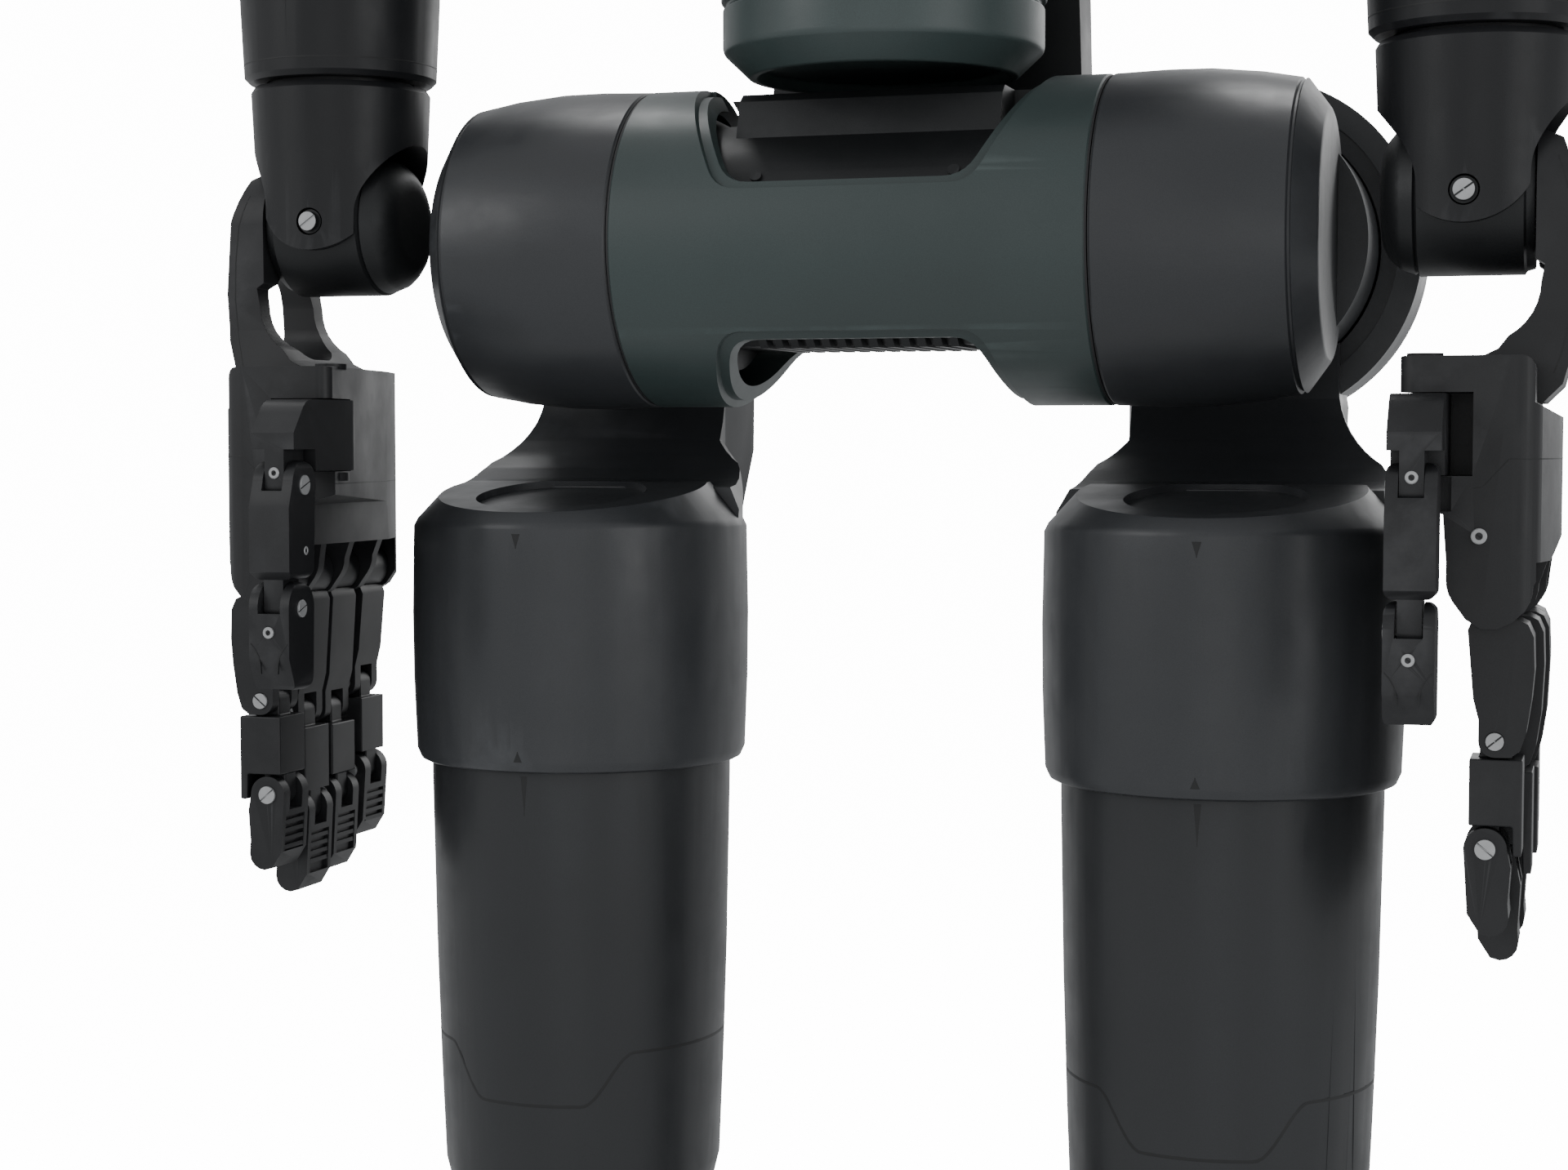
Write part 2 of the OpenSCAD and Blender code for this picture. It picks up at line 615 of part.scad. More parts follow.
module hip_yoke() {
    color(shell_grey) {
        difference() {
            union() {
                bar_y(ring_front, ring_back, ring_r, leg_x, 0);
                intersection() {
                    plate_y(-60, 110) neck_front();
                    plate_x(0, 250) neck_side();
                    translate([leg_x, 0, -120]) linear_extrude(121) union() {
                        translate([0, leg_y]) circle(thigh_r - 1.5);
                        translate([-37, 0]) square([74, 110]);
                    }
                }
                intersection() {
                    plate_y(40, ring_back) translate([leg_x, 0]) polygon([[-40, -122], [-49, -104],
                        [-49, -52], [-40, -14], [0, -14], [0, -122]]);
                    plate_x(0, 250) neck_side();
                    translate([leg_x, 0, -124]) linear_extrude(124) polygon([[-43, 40], [-43, 62],
                        [-48, 84], [-45, 94], [-36, ring_back], [0, ring_back], [0, 40]]);
                }
            }
            bar_y(ring_front - 10, ring_back - 7.4, motor_r + gap, leg_x, 0);
            bar_y(ring_front - 1, ring_front + 2, 57, leg_x, 0);
            bar_y(ring_back - 2, ring_back + 1, 46, leg_x, 0);
        }
        difference() {
            translate([leg_x, leg_y, 0]) rotate_extrude() polygon([[0, -89], [51, -89],
                [thigh_r - 1.5, -103], [thigh_r, -106], [thigh_r + 0.6, -140], [thigh_r + 0.3, -165],
                [thigh_r - 0.8, -193], [thigh_r - 2.4, -196.6], [thigh_r - 4, -197.4], [59.6, -197.4],
                [59.6, -184], [0, -184]]);
            plate_x(leg_x - 70, leg_x + 70)
                polygon([[leg_y - 70, -101], [leg_y + 6, -89], [leg_y + 6, -80], [leg_y - 70, -80]]);
            translate([leg_x, leg_y - 20, -96]) rotate([9, 0, 0]) cylinder(r = 33, h = 20);
        }
    }
}

module thigh() {
    color(shell_grey) difference() {
        union() {
            translate([leg_x, leg_y, 0]) rotate_extrude() polygon([[0, -185], [57.4, -185], [58.8, -187],
                [58.8, -203], [57.5, -270], [55.9, -320], [54.4, knee_z + 64], [51.5, knee_z + 52],
                [47, knee_z + 46], [0, knee_z + 46]]);
            bar_x(leg_x - 32, leg_x + 32, 42, leg_y, knee_z);
            box([leg_x - 32, leg_y - 40, knee_z], [leg_x + 32, leg_y + 30, knee_z + 60]);
        }
        bar_x(leg_x - 40, leg_x - 31, 14, leg_y, knee_z);
        plate_x(leg_x - 70, leg_x + 70) polygon([[leg_y + 16, knee_z + 40], [leg_y + 16, knee_z + 46],
            [leg_y + 70, knee_z + 100], [leg_y + 70, knee_z + 40]]);
    }
}

module shin() {
    color(shell_grey) difference() {
        union() {
            for (side = [-1, 1]) {
                bar_x(leg_x + side * 39.8 - 7, leg_x + side * 39.8 + 7, 44, leg_y, knee_z);
                box([leg_x + side * 39.8 - 7, leg_y - 34, knee_z - 80],
                    [leg_x + side * 39.8 + 7, leg_y + 34, knee_z]);
            }
            translate([leg_x, leg_y, 0]) rotate_extrude() polygon([[0, knee_z - 48], [46, knee_z - 48],
                [52, knee_z - 58], [54, knee_z - 110], [50, knee_z - 200], [42, knee_z - 300],
                [38, ankle_z + 46], [33, ankle_z + 38], [0, ankle_z + 38]]);
            bar_x(leg_x - 19, leg_x + 19, 22, leg_y, ankle_z);
            box([leg_x - 19, leg_y - 20, ankle_z], [leg_x + 19, leg_y + 20, ankle_z + 44]);
        }
        bar_x(leg_x - 32.8, leg_x + 32.8, 43, leg_y, knee_z);
        plate_x(leg_x - 70, leg_x + 70) polygon([[leg_y + 24, knee_z - 40], [leg_y + 24, knee_z - 48],
            [leg_y + 70, knee_z - 94], [leg_y + 70, knee_z - 40]]);
    }
}

// Side outline of the foot in YZ.
module foot_side() {
    heel = leg_y + 66;
    toe = heel - foot_length;
    polygon([[toe + 8, floor_z], [toe, floor_z + 10], [toe + 6, floor_z + 26], [leg_y - 70, floor_z + 44],
        [leg_y - 30, floor_z + 52], [leg_y + 30, floor_z + 52], [heel - 8, floor_z + 44],
        [heel, floor_z + 12], [heel - 8, floor_z]]);
}

module foot() {
    heel = leg_y + 66;
    color(limb_black) {
        intersection() {
            plate_x(leg_x - 60, leg_x + 60) foot_side();
            translate([leg_x, heel - foot_length / 2, floor_z - 1]) linear_extrude(80)
                rounded(foot_width, foot_length, 36);
        }
        for (side = [-1, 1]) {
            bar_x(leg_x + side * 25.6 - 6, leg_x + side * 25.6 + 6, 24, leg_y, ankle_z);
            box([leg_x + side * 25.6 - 6, leg_y - 24, floor_z + 40],
                [leg_x + side * 25.6 + 6, leg_y + 24, ankle_z]);
        }
    }
}

// ---------------------------------------------------------------- assembly

module lifted() {
    translate([0, centre_y, hip_height]) children();
}

// Puts a +X limb part on the side that is asked for.
module on_side(side) {
    lifted() mirror([side == "right" ? 1 : 0, 0, 0]) children();
}

lifted() pelvis_housing();
lifted() waist_bracket();
lifted() waist_drum();
lifted() torso();
lifted() neck();
lifted() head();
for (s = SIDES) {
    on_side(s) shoulder();
    on_side(s) upper_arm();
    on_side(s) forearm();
    on_side(s) wrist_housing();
    on_side(s) wrist_drum();
    on_side(s) hand_bracket();
    on_side(s) palm();
    on_side(s) thumb_base();
    on_side(s) thumb_proximal();
    on_side(s) thumb_distal();
    on_side(s) hip_drum();
    on_side(s) hip_yoke();
    on_side(s) thigh();
    on_side(s) shin();
    on_side(s) foot();
    for (i = [0:3]) {
        on_side(s) finger_proximal(i);
        on_side(s) finger_middle(i);
        on_side(s) finger_distal(i);
    }
}
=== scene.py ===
import bpy
import bmesh
import json
import math
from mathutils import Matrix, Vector
from mathutils.bvhtree import BVHTree


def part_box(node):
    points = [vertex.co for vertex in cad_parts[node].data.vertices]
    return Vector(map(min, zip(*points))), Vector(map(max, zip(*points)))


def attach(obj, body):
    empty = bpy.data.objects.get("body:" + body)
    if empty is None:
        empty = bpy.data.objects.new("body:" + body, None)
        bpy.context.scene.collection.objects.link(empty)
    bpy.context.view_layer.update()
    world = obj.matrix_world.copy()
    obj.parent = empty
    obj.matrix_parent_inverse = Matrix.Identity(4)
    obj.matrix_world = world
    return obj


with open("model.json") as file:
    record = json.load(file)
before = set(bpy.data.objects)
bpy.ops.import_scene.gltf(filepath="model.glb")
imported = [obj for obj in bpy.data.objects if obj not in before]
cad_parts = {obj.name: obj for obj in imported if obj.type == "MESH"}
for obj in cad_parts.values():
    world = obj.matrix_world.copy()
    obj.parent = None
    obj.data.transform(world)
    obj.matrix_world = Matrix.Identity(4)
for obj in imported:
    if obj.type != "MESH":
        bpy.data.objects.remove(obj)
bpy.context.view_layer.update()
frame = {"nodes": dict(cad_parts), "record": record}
NODES = frame["nodes"]
RECORD = frame["record"]
MM = 0.001
SIDES = (("left", 1), ("right", -1))
FINGERS = ("index", "middle", "ring", "little")

JOINT_AT = {j["name"]: Vector(j["pos_m"]) for j in RECORD["behaviour"]["joints"]}

# The middle of the hip axis, which the waist pitch joint shares.
HIP = Vector((0.0, JOINT_AT["waist_pitch"].y, JOINT_AT["waist_pitch"].z))


def at(x, y, z):
    """A point in millimetres from the middle of the hip axis, in the row frame."""
    return HIP + Vector((x, y, z)) * MM


def joint_mm(name):
    """A joint's place in millimetres from the hip axis."""
    return (JOINT_AT[name] - HIP) / MM


# Upright axes of a leg and an arm on the +X side, in millimetres from the hip axis.
LEG_X, LEG_Y = 126.5, 11.0
ARM_X, ARM_Y = 216.0, -16.0
ACROSS, FRONT, REAR, UP = (Vector(v) for v in ((1, 0, 0), (0, -1, 0), (0, 1, 0), (0, 0, 1)))


# ------------------------------------------------------------ camera and stage

# Camera: its place in millimetres from the hip axis, the way it looks, and its lens in millimetres.
CAMERA_PLACE = (262.7, -959.1, -73.1)
CAMERA_LOOK = (-0.2996, 0.9525, -0.0544)
CAMERA_LENS = 60.54

def add_camera():
    data = bpy.data.cameras.new("view_camera")
    data.sensor_width = 36.0
    data.sensor_fit = "HORIZONTAL"
    data.lens = CAMERA_LENS
    data.clip_start = 0.05
    data.clip_end = 60.0
    cam = bpy.data.objects.new("view_camera", data)
    bpy.context.collection.objects.link(cam)
    cam.location = at(*CAMERA_PLACE)
    cam.rotation_euler = Vector(CAMERA_LOOK).to_track_quat("-Z", "Y").to_euler()
    bpy.context.scene.camera = cam


def area_light(name, place, target, size, power, colour=(1, 1, 1), size_y=None):
    data = bpy.data.lights.new(name, "AREA")
    data.energy = power
    data.color = colour
    data.size = size
    if size_y:
        data.shape = "RECTANGLE"
        data.size_y = size_y
    lamp = bpy.data.objects.new(name, data)
    bpy.context.collection.objects.link(lamp)
    lamp.location = place
    lamp.rotation_euler = (Vector(target) - Vector(place)).to_track_quat("-Z", "Y").to_euler()


def add_lights():
    world = bpy.data.worlds.new("studio")
    world.use_nodes = True
    back = world.node_tree.nodes["Background"]
    back.inputs["Color"].default_value = (0.97, 0.985, 1.0, 1)
    back.inputs["Strength"].default_value = 0.72
    bpy.context.scene.world = world
    aim = (0, 0, 0.85)
    area_light("key", (-2.6, -2.6, 2.3), aim, 1.6, 27)
    area_light("front", (0.5, -3.4, 0.7), (0, 0, 0.9), 1.6, 5)
    area_light("fill", (3.2, -2.0, 1.3), aim, 1.8, 18)
    area_light("top", (-0.3, 0.7, 3.4), aim, 1.6, 74, size_y=0.8)
    area_light("back", (0.8, 3.0, 1.9), aim, 2.2, 24)


def glow_material(name, near, far, start, end):
    """Pale matt surface that also glows: softly by the feet, up to plain white further out."""
    mat = bpy.data.materials.new(name)
    mat.use_nodes = True
    tree = mat.node_tree
    shader = tree.nodes["Principled BSDF"]
    shader.inputs["Base Color"].default_value = (0.86, 0.865, 0.87, 1)
    shader.inputs["Roughness"].default_value = 0.8
    shader.inputs["Specular IOR Level"].default_value = 0.1
    shader.inputs["Emission Color"].default_value = (1, 1, 1, 1)
    place = tree.nodes.new("ShaderNodeTexCoord")
    reach = tree.nodes.new("ShaderNodeVectorMath")
    reach.operation = "LENGTH"
    tree.links.new(place.outputs["Object"], reach.inputs[0])
    grow = tree.nodes.new("ShaderNodeMapRange")
    grow.interpolation_type = "SMOOTHSTEP"
    grow.inputs["From Min"].default_value = start
    grow.inputs["From Max"].default_value = end
    grow.inputs["To Min"].default_value = near
    grow.inputs["To Max"].default_value = far
    tree.links.new(reach.outputs["Value"], grow.inputs["Value"])
    tree.links.new(grow.outputs["Result"], shader.inputs["Emission Strength"])
    return mat


# Stage: glow by the feet and far out, the distances in metres between which it grows, and the two radii.
GLOW_NEAR, GLOW_FAR = 0.55, 14.0
GLOW_START, GLOW_END = 0.25, 1.7
FLOOR_RADIUS, SURROUND_RADIUS = 9.0, 10.0
# The floor lies this far under the soles, so that the two faces don't share a plane.
FLOOR_Z = -0.0002


def add_stage():
    """A plain pale floor and a white surround. Neither lights the object."""
    floor_mesh = bpy.data.meshes.new("floor")
    grid = bmesh.new()
    bmesh.ops.create_circle(grid, cap_ends=True, segments=96, radius=FLOOR_RADIUS)
    grid.to_mesh(floor_mesh)
    grid.free()
    dome_mesh = bpy.data.meshes.new("surround")
    grid = bmesh.new()
    bmesh.ops.create_icosphere(grid, subdivisions=5, radius=SURROUND_RADIUS)
    grid.to_mesh(dome_mesh)
    grid.free()
    for name, mesh, mat, z in (
        ("floor", floor_mesh, glow_material("pale_floor", GLOW_NEAR, GLOW_FAR, GLOW_START, GLOW_END), FLOOR_Z),
        ("surround", dome_mesh, glow_material("white_surround", GLOW_FAR, GLOW_FAR, 1.0, 2.0), 0.0),
    ):
        mesh.materials.append(mat)
        piece = bpy.data.objects.new(name, mesh)
        bpy.context.collection.objects.link(piece)
        piece.location = (0, 0, z)
        piece.visible_diffuse = False
        piece.visible_glossy = False
        piece.visible_transmission = False
        piece.visible_volume_scatter = False
        if name == "surround":
            piece.visible_shadow = False


# ------------------------------------------------------------ materials

def plastic(name, colour, rough=0.42, grain=0.12, grain_size=2600.0, shift=0.10, wear=0.35, metal=0.0,
            coat=0.0, specular=0.5):
    """Satin moulded surface: fine grain, soft colour drift, faint marks and lighter worn edges."""
    mat = bpy.data.materials.new(name)
    mat.use_nodes = True
    tree = mat.node_tree
    new = tree.nodes.new
    link = tree.links.new
    shader = tree.nodes["Principled BSDF"]
    shader.inputs["Metallic"].default_value = metal
    shader.inputs["Specular IOR Level"].default_value = specular
    if coat:
        shader.inputs["Coat Weight"].default_value = coat
        shader.inputs["Coat Roughness"].default_value = 0.25

    place = new("ShaderNodeTexCoord")

    def noise(scale, detail, rough_value=0.5):
        node = new("ShaderNodeTexNoise")
        node.inputs["Scale"].default_value = scale
        node.inputs["Detail"].default_value = detail
        node.inputs["Roughness"].default_value = rough_value
        link(place.outputs["Object"], node.inputs["Vector"])
        return node

    def ramp(source, low, high, out_low, out_high):
        node = new("ShaderNodeMapRange")
        node.inputs["From Min"].default_value = low
        node.inputs["From Max"].default_value = high
        node.inputs["To Min"].default_value = out_low
        node.inputs["To Max"].default_value = out_high
        link(source, node.inputs["Value"])
        return node.outputs["Result"]

    drift = noise(9.0, 3.0)
    specks = noise(grain_size, 2.0)
    smudge = noise(38.0, 5.0, 0.62)

    # Colour: a broad drift, fine flecks, and a lighter tone on the sharpest edges.
    dark = tuple(c * (1 - shift) for c in colour) + (1,)
    light = tuple(min(1, c * (1 + shift)) for c in colour) + (1,)
    tone = new("ShaderNodeMix")
    tone.data_type = "RGBA"
    tone.inputs["A"].default_value = dark
    tone.inputs["B"].default_value = light
    link(ramp(drift.outputs["Fac"], 0.35, 0.65, 0, 1), tone.inputs["Factor"])
    fleck = new("ShaderNodeMix")
    fleck.data_type = "RGBA"
    fleck.blend_type = "MULTIPLY"
    fleck.inputs["Factor"].default_value = 1.0
    link(tone.outputs["Result"], fleck.inputs["A"])
    grey = new("ShaderNodeCombineColor")
    value = ramp(specks.outputs["Fac"], 0.3, 0.7, 0.90, 1.10)
    for channel in ("Red", "Green", "Blue"):
        link(value, grey.inputs[channel])
    link(grey.outputs["Color"], fleck.inputs["B"])

    geometry = new("ShaderNodeNewGeometry")
    edge = ramp(geometry.outputs["Pointiness"], 0.515, 0.60, 0.0, wear)
    broken = new("ShaderNodeMath")
    broken.operation = "MULTIPLY"
    link(edge, broken.inputs[0])
    link(ramp(smudge.outputs["Fac"], 0.42, 0.62, 0.15, 1.0), broken.inputs[1])
    worn = new("ShaderNodeMix")
    worn.data_type = "RGBA"
    worn.inputs["B"].default_value = tuple(min(1, c * 2.2 + 0.03) for c in colour) + (1,)
    link(fleck.outputs["Result"], worn.inputs["A"])
    link(broken.outputs["Value"], worn.inputs["Factor"])
    link(worn.outputs["Result"], shader.inputs["Base Color"])

    # Roughness: smudges and wiped patches.
    link(ramp(smudge.outputs["Fac"], 0.3, 0.7, rough - 0.06, rough + 0.07), shader.inputs["Roughness"])

    # Fine moulded grain.
    bump = new("ShaderNodeBump")
    bump.inputs["Strength"].default_value = grain
    bump.inputs["Distance"].default_value = 0.00012
    link(specks.outputs["Fac"], bump.inputs["Height"])
    link(bump.outputs["Normal"], shader.inputs["Normal"])
    return mat


def brushed(name, colour, rough=0.32):
    """Turned steel: fine lines, a little tarnish and darker pits."""
    mat = bpy.data.materials.new(name)
    mat.use_nodes = True
    tree = mat.node_tree
    new = tree.nodes.new
    link = tree.links.new
    shader = tree.nodes["Principled BSDF"]
    shader.inputs["Metallic"].default_value = 0.3
    place = new("ShaderNodeTexCoord")
    stretch = new("ShaderNodeMapping")
    stretch.inputs["Scale"].default_value = (500, 500, 9000)
    link(place.outputs["Object"], stretch.inputs["Vector"])
    lines = new("ShaderNodeTexNoise")
    lines.inputs["Scale"].default_value = 1.0
    lines.inputs["Detail"].default_value = 3.0
    link(stretch.outputs["Vector"], lines.inputs["Vector"])
    stain = new("ShaderNodeTexNoise")
    stain.inputs["Scale"].default_value = 320.0
    stain.inputs["Detail"].default_value = 4.0
    link(place.outputs["Object"], stain.inputs["Vector"])
    tone = new("ShaderNodeMix")
    tone.data_type = "RGBA"
    tone.inputs["A"].default_value = tuple(c * 0.82 for c in colour) + (1,)
    tone.inputs["B"].default_value = tuple(min(1, c * 1.1) for c in colour) + (1,)
    link(stain.outputs["Fac"], tone.inputs["Factor"])
    link(tone.outputs["Result"], shader.inputs["Base Color"])
    spread = new("ShaderNodeMapRange")
    spread.inputs["To Min"].default_value = rough - 0.08
    spread.inputs["To Max"].default_value = rough + 0.12
    link(lines.outputs["Fac"], spread.inputs["Value"])
    link(spread.outputs["Result"], shader.inputs["Roughness"])
    bump = new("ShaderNodeBump")
    bump.inputs["Strength"].default_value = 0.15
    bump.inputs["Distance"].default_value = 0.00005
    link(lines.outputs["Fac"], bump.inputs["Height"])
    link(bump.outputs["Normal"], shader.inputs["Normal"])
    return mat


MATS = {
    "pelvis_shell": plastic("green_grey_plastic", (0.030, 0.044, 0.043), rough=0.40),
    "body_shell": plastic("dark_grey_plastic", (0.029, 0.031, 0.034), rough=0.38, specular=0.45),
    "hand_shell": plastic("black_plastic", (0.0125, 0.0128, 0.0140), rough=0.42, grain=0.14, wear=0.5,
                          specular=0.36),
    "core": plastic("dull_black_metal", (0.011, 0.012, 0.013), rough=0.46, grain=0.25, grain_size=1800.0,
                    metal=0.25),
    "foot": plastic("sole_rubber", (0.014, 0.015, 0.016), rough=0.62, grain=0.4, grain_size=1500.0, wear=0.2),
    "pin": brushed("pin_steel", (0.40, 0.405, 0.41)),
}
# Near-black paint for parting lines, marks, socket holes and the wrist drum's ring line: painted shade in place of
# the shadow in a groove or hole.
SEAM_SHADE = plastic("seam_shadow", (0.004, 0.0045, 0.005), rough=0.55, wear=0.0, shift=0.04)
GLASS = plastic("visor_gloss", (0.006, 0.0065, 0.008), rough=0.24, grain=0.03, wear=0.0, coat=0.3)
# Kinds of node painted in lighter or darker copies of the shell materials: painted light and shade that make up for
# the light they get here. The waist drum is lighter where the torso shades it; the thigh, shin, forearm and wrist are
# darker.
NODE_MATS = {
    "waist_drum": plastic("green_grey_drum", (0.040, 0.057, 0.056), rough=0.40),
    "thigh": plastic("dark_grey_thigh", (0.020, 0.0213, 0.0232), rough=0.38, specular=0.40),
    "shin": plastic("dark_grey_shin", (0.026, 0.0275, 0.0300), rough=0.38),
    "forearm": plastic("black_sleeve", (0.0090, 0.0095, 0.0108), rough=0.40, grain=0.14, specular=0.32),
    "wrist_housing": plastic("black_wrist", (0.0090, 0.0095, 0.0108), rough=0.40, grain=0.14, specular=0.32),
}
# Near-black material for the rings at the hip joint: painted shade for the groove between the pelvis and the hip
# drum.
HIP_GROOVE_SHADE = plastic("ring_rubber", (0.010, 0.010, 0.011), rough=0.6, grain=0.3, wear=0.1)


# ------------------------------------------------------------ mesh helpers

def link_piece(name, mesh, material, body, smooth=True):
    mesh.materials.clear()
    mesh.materials.append(material)
    for face in mesh.polygons:
        face.use_smooth = smooth
    piece = bpy.data.objects.new(name, mesh)
    bpy.context.collection.objects.link(piece)
    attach(piece, body)
    return piece


def sharp_by_angle(mesh, degrees):
    """Smooth faces with crisp edges where two faces meet at more than this angle."""
    work = bmesh.new()
    work.from_mesh(mesh)
    limit = math.radians(degrees)
    for edge in work.edges:
        edge.smooth = not (len(edge.link_faces) == 2 and edge.calc_face_angle(0) > limit)
    for face in work.faces:
        face.smooth = True
    work.to_mesh(mesh)
    work.free()


def soften(obj, width, degrees=30, segments=3):
    """Moulded edges on a CAD node: joins its faces, then rounds its sharp edges."""
    weld = obj.modifiers.new("weld", "WELD")
    weld.merge_threshold = 0.00002
    flat = obj.modifiers.new("flat_faces", "DECIMATE")
    flat.decimate_type = "DISSOLVE"
    flat.angle_limit = math.radians(0.8)
    round_edges = obj.modifiers.new("moulded_edges", "BEVEL")
    round_edges.width = width * MM
    round_edges.segments = segments
    round_edges.limit_method = "ANGLE"
    round_edges.angle_limit = math.radians(degrees)
    round_edges.use_clamp_overlap = True
    round_edges.miter_outer = "MITER_ARC"
    even = obj.modifiers.new("even_normals", "WEIGHTED_NORMAL")
    even.keep_sharp = True
    even.weight = 90


# Radius of the moulded edges on each kind of node, in millimetres.
EDGE_MM = {
    "pelvis_housing": 0.9, "waist_bracket": 1.0, "waist_drum": 0.8, "torso": 3.0, "neck": 1.2, "head": 1.6,
    "shoulder": 1.6, "upper_arm": 1.4, "forearm": 0.9, "wrist_housing": 0.8, "wrist_drum": 0.5,
    "hand_bracket": 1.1, "palm": 0.9, "thumb_base": 0.9, "thumb_proximal": 0.9, "thumb_distal": 0.9,
    "hip_drum": 0.6, "hip_yoke": 1.6, "thigh": 0.8, "shin": 1.8, "foot": 2.4,
    "proximal": 0.8, "middle": 0.7, "distal": 0.7,
}


def short_name(node):
    """A node's kind: its name without the side and the finger."""
    name = node.replace("left_", "").replace("right_", "")
    for finger in FINGERS:
        name = name.replace(finger + "_", "")
    return name


def dress_nodes():
    """Gives every CAD node its material and its rounded edges."""
    slots = {s["node"]: s["material_slot"] for s in RECORD["subparts"]}
    for node, obj in NODES.items():
        for slot in obj.material_slots:
            slot.material = NODE_MATS.get(short_name(node), MATS[slots[node]])
        for face in obj.data.polygons:
            face.use_smooth = True
        soften(obj, EDGE_MM[short_name(node)])


# ------------------------------------------------------------ added details

def mirrored(m, p):
    """A point given for the +X side, moved to the side m."""
    return at(m * p[0], p[1], p[2])


def turn_about(axis):
    """Two directions square to the axis."""
    a = Vector(axis).normalized()
    u = a.cross(Vector((0, 0, 1))) if abs(a.z) < 0.9 else a.cross(Vector((0, 1, 0)))
    u.normalize()
    return a, u, a.cross(u)


def finish_mesh(name, work, degrees=35):
    bmesh.ops.remove_doubles(work, verts=work.verts, dist=1e-7)
    bmesh.ops.recalc_face_normals(work, faces=work.faces)
    mesh = bpy.data.meshes.new(name)
    work.to_mesh(mesh)
    work.free()
    sharp_by_angle(mesh, degrees)
    return mesh


def add_turned(work, centre, axis, profile, steps=36):
    """Adds a body of revolution; profile is (radius, distance along the axis) in millimetres."""
    a, u, v = turn_about(axis)
    rings = []
    for radius, along in profile:
        base = centre + a * along * MM
        if radius < 1e-6:
            rings.append([work.verts.new(base)])
            continue
        ring = []
        for k in range(steps):
            t = math.tau * k / steps
            ring.append(work.verts.new(base + (u * math.cos(t) + v * math.sin(t)) * radius * MM))
        rings.append(ring)
    pairs = list(zip(rings, rings[1:]))
    if len(rings[0]) > 1 and len(rings[-1]) > 1:
        pairs.append((rings[-1], rings[0]))
    for low, high in pairs:
        for k in range(steps):
            n = (k + 1) % steps
            if len(low) == 1:
                work.faces.new((low[0], high[k], high[n]))
            elif len(high) == 1:
                work.faces.new((low[k], low[n], high[0]))
            else:
                work.faces.new((low[k], low[n], high[n], high[k]))


def turned(name, centre, axis, profile, material, body, steps=36):
    work = bmesh.new()
    add_turned(work, centre, axis, profile, steps)
    piece = link_piece(name, finish_mesh(name, work), material, body)
    return piece


def slotted_head(name, centre, axis, radius, body, proud=0.35, slot_mm=0.55, turn=35.0):
    """A pin's end: a disc and two half-round pads with a screwdriver slot between them."""
    work = bmesh.new()
    depth = min(0.45, radius * 0.18)
    add_turned(work, centre, axis, [(0, -1.2), (radius, -1.2), (radius, proud - depth), (0, proud - depth)])
    a, u, v = turn_about(axis)
    c, s = math.cos(math.radians(turn)), math.sin(math.radians(turn))
    u, v = u * c + v * s, v * c - u * s
    start = math.asin(slot_mm / 2 / radius)
    arc = 17
    for side in (1, -1):
        rings = []
        for shrink, up in ((0.0, proud - depth), (0.0, proud - 0.12), (0.14, proud)):
            ring = []
            for k in range(arc):
                t = start + (math.pi - 2 * start) * k / (arc - 1)
                x = (radius - shrink) * math.cos(t)
                y = max((radius - shrink) * math.sin(t), slot_mm / 2 + shrink)
                ring.append(work.verts.new(centre + (u * x + v * y * side + a * up) * MM))
            rings.append(ring)
        for low, high in zip(rings, rings[1:]):
            for k in range(arc):
                n = (k + 1) % arc
                work.faces.new((low[k], low[n], high[n], high[k]))
        work.faces.new(rings[-1])
        work.faces.new(rings[0][::-1])
    piece = link_piece(name, finish_mesh(name, work), MATS["pin"], body)
    return piece


def socket_head(name, centre, axis, radius, body, proud=0.3):
    """A small screw with a hexagon socket: a bright ring round a dark hole."""
    work = bmesh.new()
    hole = radius * 0.46
    add_turned(work, centre, axis, [(hole, -0.9), (hole, proud - 0.15), (hole + 0.15, proud),
                                    (radius - 0.3, proud), (radius, proud - 0.25), (radius, -1.2)])
    ring = link_piece(name, finish_mesh(name, work), MATS["pin"], body)
    # The socket's floor is painted near-black: painted shade in the hole.
    work = bmesh.new()
    add_turned(work, centre, axis,
               [(0, -1.1), (hole + 0.1, -1.1), (hole + 0.1, -0.7), (hole * 0.5, -0.8), (0, -0.9)], 6)
    link_piece(name + "_socket", finish_mesh(name + "_socket", work), SEAM_SHADE, body)


def screw_ring(name, centre, u, v, ring, axis, radius, body, proud, count=6):
    """Screws evenly round a centre, on a circle of the radius ring in the plane of u and v."""
    for k in range(count):
        t = math.tau * (k + 0.5) / count
        place = centre + (u * math.cos(t) + v * math.sin(t)) * ring * MM
        socket_head(name + "_" + str(k), place, axis, radius, body, proud)


